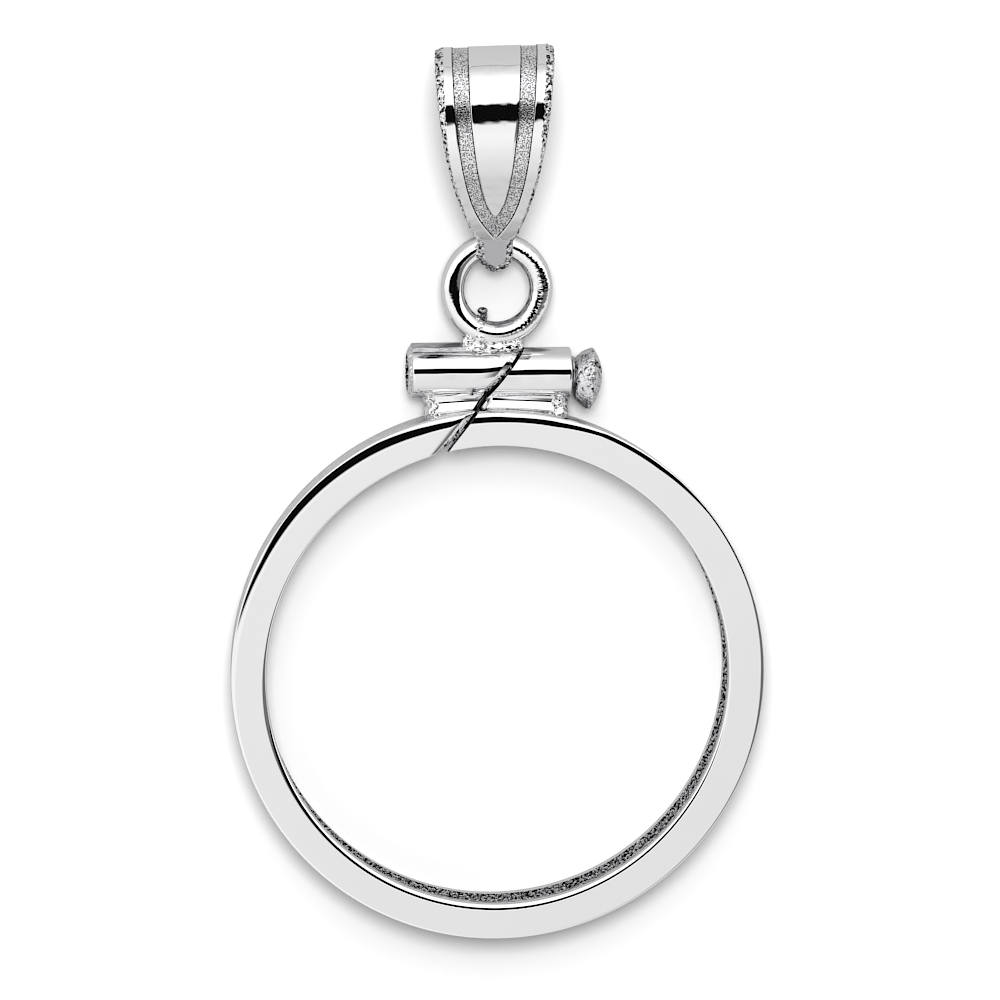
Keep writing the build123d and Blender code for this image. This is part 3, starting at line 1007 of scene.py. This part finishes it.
rows = []
front_steps = list(np.arange(-neck_length, front_length + top_length, bail_step))
for along, back in [(a, False) for a in front_steps] + [(a, True) for a in reversed(front_steps[1:])]:
    y, z, tilt = front_profile(along)
    normal = Vector((0, sin(tilt), cos(tilt)))
    above = clamped((bend_high - along) / (bend_high - bend_low))
    pressed = tongue_bend * ((bend_high - bend_low) / 2 * above**2 + max(0.0, bend_low - max(along, 0.0)))
    halves = []
    for side in (1, -1):
        sway = noise.noise(Vector((along / sway_length, 7.0 * side, 3.0 * back))) * sway_width
        half_row = []
        for x, depth, finish in right_half_section(along, sway):
            spot = Vector((x * side, y, z)) - normal * (depth + pressed)
            if finish == 2 and depth > 0:
                rough = noise.fractal(spot / mould_grain_across + Vector((0, 0, 9 * back)), 0.7, 2.0, 3)
                lift = noise.fractal(spot / mould_grain_up + Vector((5, 0, 9 * back)), 0.7, 2.0, 2)
                spot += Vector((side * rough * mould_roughness, 0, 0)) + normal * lift * mould_roughness
            spot.y += top_skew * spot.x * clamped((spot.y - skew_start) / skew_length)
            if back:
                spot.z = -spot.z
            half_row.append((bail_place @ spot, finish))
        halves.append(half_row)
    right, left = halves
    rows.append([spot for spot, finish in right] + [spot for spot, finish in reversed(left[1:-1])])
    half_finishes = [finish for spot, finish in right]
columns = len(rows[0])
faces = woven_faces(len(rows), columns, closed_rows=True)
last = len(half_finishes) - 1
row_finishes = [half_finishes[j] if j < last else half_finishes[2 * last - 1 - j] for j in range(columns)]
face_finishes = [row_finishes[i % columns] for i in range(len(faces))]
tongue_rows = sum(step < tongue_end for step in front_steps)
for i in range(tongue_rows * columns):
    if face_finishes[i] == 0:
        face_finishes[i] = 4

# The polished front and back, buffed into shallow waves
polished_bail, tree, shader = white_gold("white_gold_polished_bail", "#f1f1f2", 0.05)
relief(tree, shader, grain(tree, object_place(tree), 0.5 * MM, 1.0), 0.012 * MM)

# Sandblasting leaves a bright frost of tiny dents, about as fine as the picture can show. Painted shade
# darkens their hollows.
frosted, tree, shader = white_gold("white_gold_sandblasted", "#d6d6d7", 0.2)
pitted_and_shaded(tree, shader, object_place(tree), "#f2f2f3", "#87878a", 0.045 * MM, 0.008 * MM, 0.42, detail=0.5)

# The sides are the mould's skin: coarse, with hollows darkened by painted shade
mould_skin, tree, shader = white_gold("white_gold_mould_skin", "#bcbcbd", 0.2)
pitted_and_shaded(tree, shader, object_place(tree), "#eeeeef", "#4a4a4d", 0.13 * MM, 0.06 * MM, 0.36, detail=1.0)

# The stripes' walls: painted shade, dark where each stripe steps down and darker still in their hollows
stripe_wall, tree, shader = white_gold("white_gold_stripe_wall", "#5a5a5c", 0.3)
pitted_and_shaded(tree, shader, object_place(tree), "#77777a", "#262628", 0.08 * MM, 0.03 * MM, 0.5)

# The tongue at the neck, which the buffing wheel didn't reach: satin, with painted shade that makes it a
# little darker than the polished plate
satin_tongue, tree, shader = white_gold("white_gold_satin_tongue", "#dedee0", 0.42)
relief(tree, shader, grain(tree, object_place(tree), 0.5 * MM, 1.0), 0.01 * MM)

bail_finishes = [polished_bail, frosted, mould_skin, stripe_wall, satin_tongue]
bail = make_piece("bail", rows, faces, bail_finishes, face_finishes, 60)
place_piece(bail, "frame", "bail")


# Table: a matt sheet that shows white to the camera. The metal sees it as the greyer card that the
# photograph's reflections show, so a second sheet, a hair higher, stands in for it in reflections alone.
def sheet_at(name, height, colour):
    """A wide, matt, square sheet at a height, which is not part of the object."""
    reach = 0.6
    corners = [(x * reach, y * reach, height) for x, y in ((-1, -1), (1, -1), (1, 1), (-1, 1))]
    mesh = bpy.data.meshes.new(name)
    mesh.from_pydata(corners, [], [(0, 1, 2, 3)])
    sheet = add_object(name, mesh)
    card = bpy.data.materials.new(name + "_card")
    card.use_nodes = True
    shader = card.node_tree.nodes["Principled BSDF"]
    shader.inputs["Base Color"].default_value = srgb(colour)
    shader.inputs["Roughness"].default_value = 0.9
    shader.inputs["Specular IOR Level"].default_value = 0.0
    mesh.materials.append(card)
    return sheet


table = sheet_at("table", -0.012 * MM, "#c1c1c1")
table.visible_glossy = False
mirrored_table = sheet_at("mirrored_table", -0.006 * MM, "#929292")
mirrored_table.visible_camera = False
mirrored_table.visible_diffuse = False
mirrored_table.visible_shadow = False

# Studio: a white tent over the table, with a dark gap above the object through which the camera looks.
# It goes grey down to the table, most of all on the ring's side. A grey stand leans in on the right.
scene = bpy.context.scene
world = bpy.data.worlds.new("light_tent")
world.use_nodes = True
scene.world = world
tree = world.node_tree
tent = tree.nodes["Background"]
place = add_node(tree, "ShaderNodeTexCoord", {})
way = add_node(tree, "ShaderNodeSeparateXYZ", {"Vector": place.outputs["Generated"]})
lengthways = calculate(tree, "ARCTAN2", way.outputs["Y"], way.outputs["Z"])
sideways = calculate(tree, "ARCTAN2", way.outputs["X"], way.outputs["Z"])

# The tent's greys from the table at -Y, over the top, to the table at +Y, in degrees from straight up
tent_greys = [
    (-90, 0.38), (-84, 0.54), (-78, 0.70), (-65, 0.82), (-48, 0.88), (-30, 1.0), (-18, 1.05), (-6, 1.0),
    (24, 1.2), (60, 1.3), (68, 1.05), (80, 0.79), (90, 0.66),
]
ramp = add_node(tree, "ShaderNodeValToRGB", {"Fac": share_between(tree, lengthways, -pi / 2, pi / 2)})
brightest = max(grey for angle, grey in tent_greys)
stops = ramp.color_ramp.elements
while len(stops) < len(tent_greys):
    stops.new(0.5)
for stop, (angle, grey) in zip(stops, tent_greys):
    stop.position = (angle + 90) / 180
    stop.color = (grey / brightest, grey / brightest, grey / brightest, 1)

# The shaded side, the stand and the dark gap are laid over the tent one after another. Each has its grey
# and four soft edges, and an edge is an angle on its way from outside the patch to inside it, in degrees.
patches = [
    (0.66, [(sideways, -2, 6), (sideways, 84, 76), (lengthways, -60, -46), (lengthways, -5, -11)]),
    (0.14, [(sideways, 6, 17), (sideways, 82, 70), (lengthways, -34, -20), (lengthways, 14, 4)]),
    (0.003, [(lengthways, -4, 1.5), (lengthways, 23.5, 19.5), (sideways, -46, -32), (sideways, 75, 60)]),
]
seen = ramp.outputs["Color"]
for grey, edges in patches:
    inside = 1.0
    for angle, start, stop in edges:
        edge = share_between(tree, angle, radians(start), radians(stop), interpolation_type="SMOOTHSTEP")
        inside = calculate(tree, "MULTIPLY", inside, edge)
    seen = mixed_colour(tree, inside, seen, (grey, grey, grey, 1))
tree.links.new(seen, tent.inputs["Color"])
tent.inputs["Strength"].default_value = brightest


# Two round lamps beside the camera whiten the table and lay soft, tight shadows. They are hidden from
# the metal, which mirrors the tent instead.
def lamp_at(name, side, along, power, angular_radius):
    """A round lamp, its direction and its radius in degrees as seen from the object."""
    distance = 0.25
    data = bpy.data.lights.new(name, "AREA")
    data.shape = "DISK"
    data.size = 2 * distance * tan(radians(angular_radius))
    data.energy = power
    lamp = add_object(name, data)
    way = Vector((tan(radians(side)), tan(radians(along)), 1)).normalized()
    lamp.location = way * distance
    lamp.rotation_euler = way.to_track_quat("Z", "Y").to_euler()
    lamp.visible_glossy = False


lamp_at("key_lamp", -4, 16, 0.70, 9.5)
lamp_at("back_lamp", -2, 38, 0.28, 20)

# Camera: a long lens almost straight above, a little to the left and to the bail's side
camera_way = Vector((-0.085, 0.155, 0.984)).normalized()
target = Vector((0.094 * MM, 5.93 * MM, ring_height))
camera_distance = 0.35
picture_width = 33.49 * MM
camera_data = bpy.data.cameras.new("camera")
camera_data.sensor_width = 36.0
camera_data.lens = camera_data.sensor_width * camera_distance / picture_width
camera_data.clip_start = 0.01
camera = add_object("camera", camera_data)
side = Vector((0, 1, 0)).cross(camera_way).normalized()
up = camera_way.cross(side)
turn = Matrix((side, up, camera_way)).transposed().to_4x4()
camera.matrix_world = Matrix.Translation(target + camera_way * camera_distance) @ turn
scene.camera = camera
scene.view_settings.view_transform = "Standard"
scene.view_settings.look = "None"

# The picture is sharpened a little, as the photograph's was
scene.use_nodes = True
tree = scene.node_tree
tree.nodes.clear()
layers = add_node(tree, "CompositorNodeRLayers", {})
sharp = add_node(
    tree, "CompositorNodeFilter", {"Fac": 0.05, "Image": layers.outputs["Image"]}, filter_type="SHARPEN"
)
add_node(tree, "CompositorNodeComposite", {"Image": sharp.outputs["Image"]})
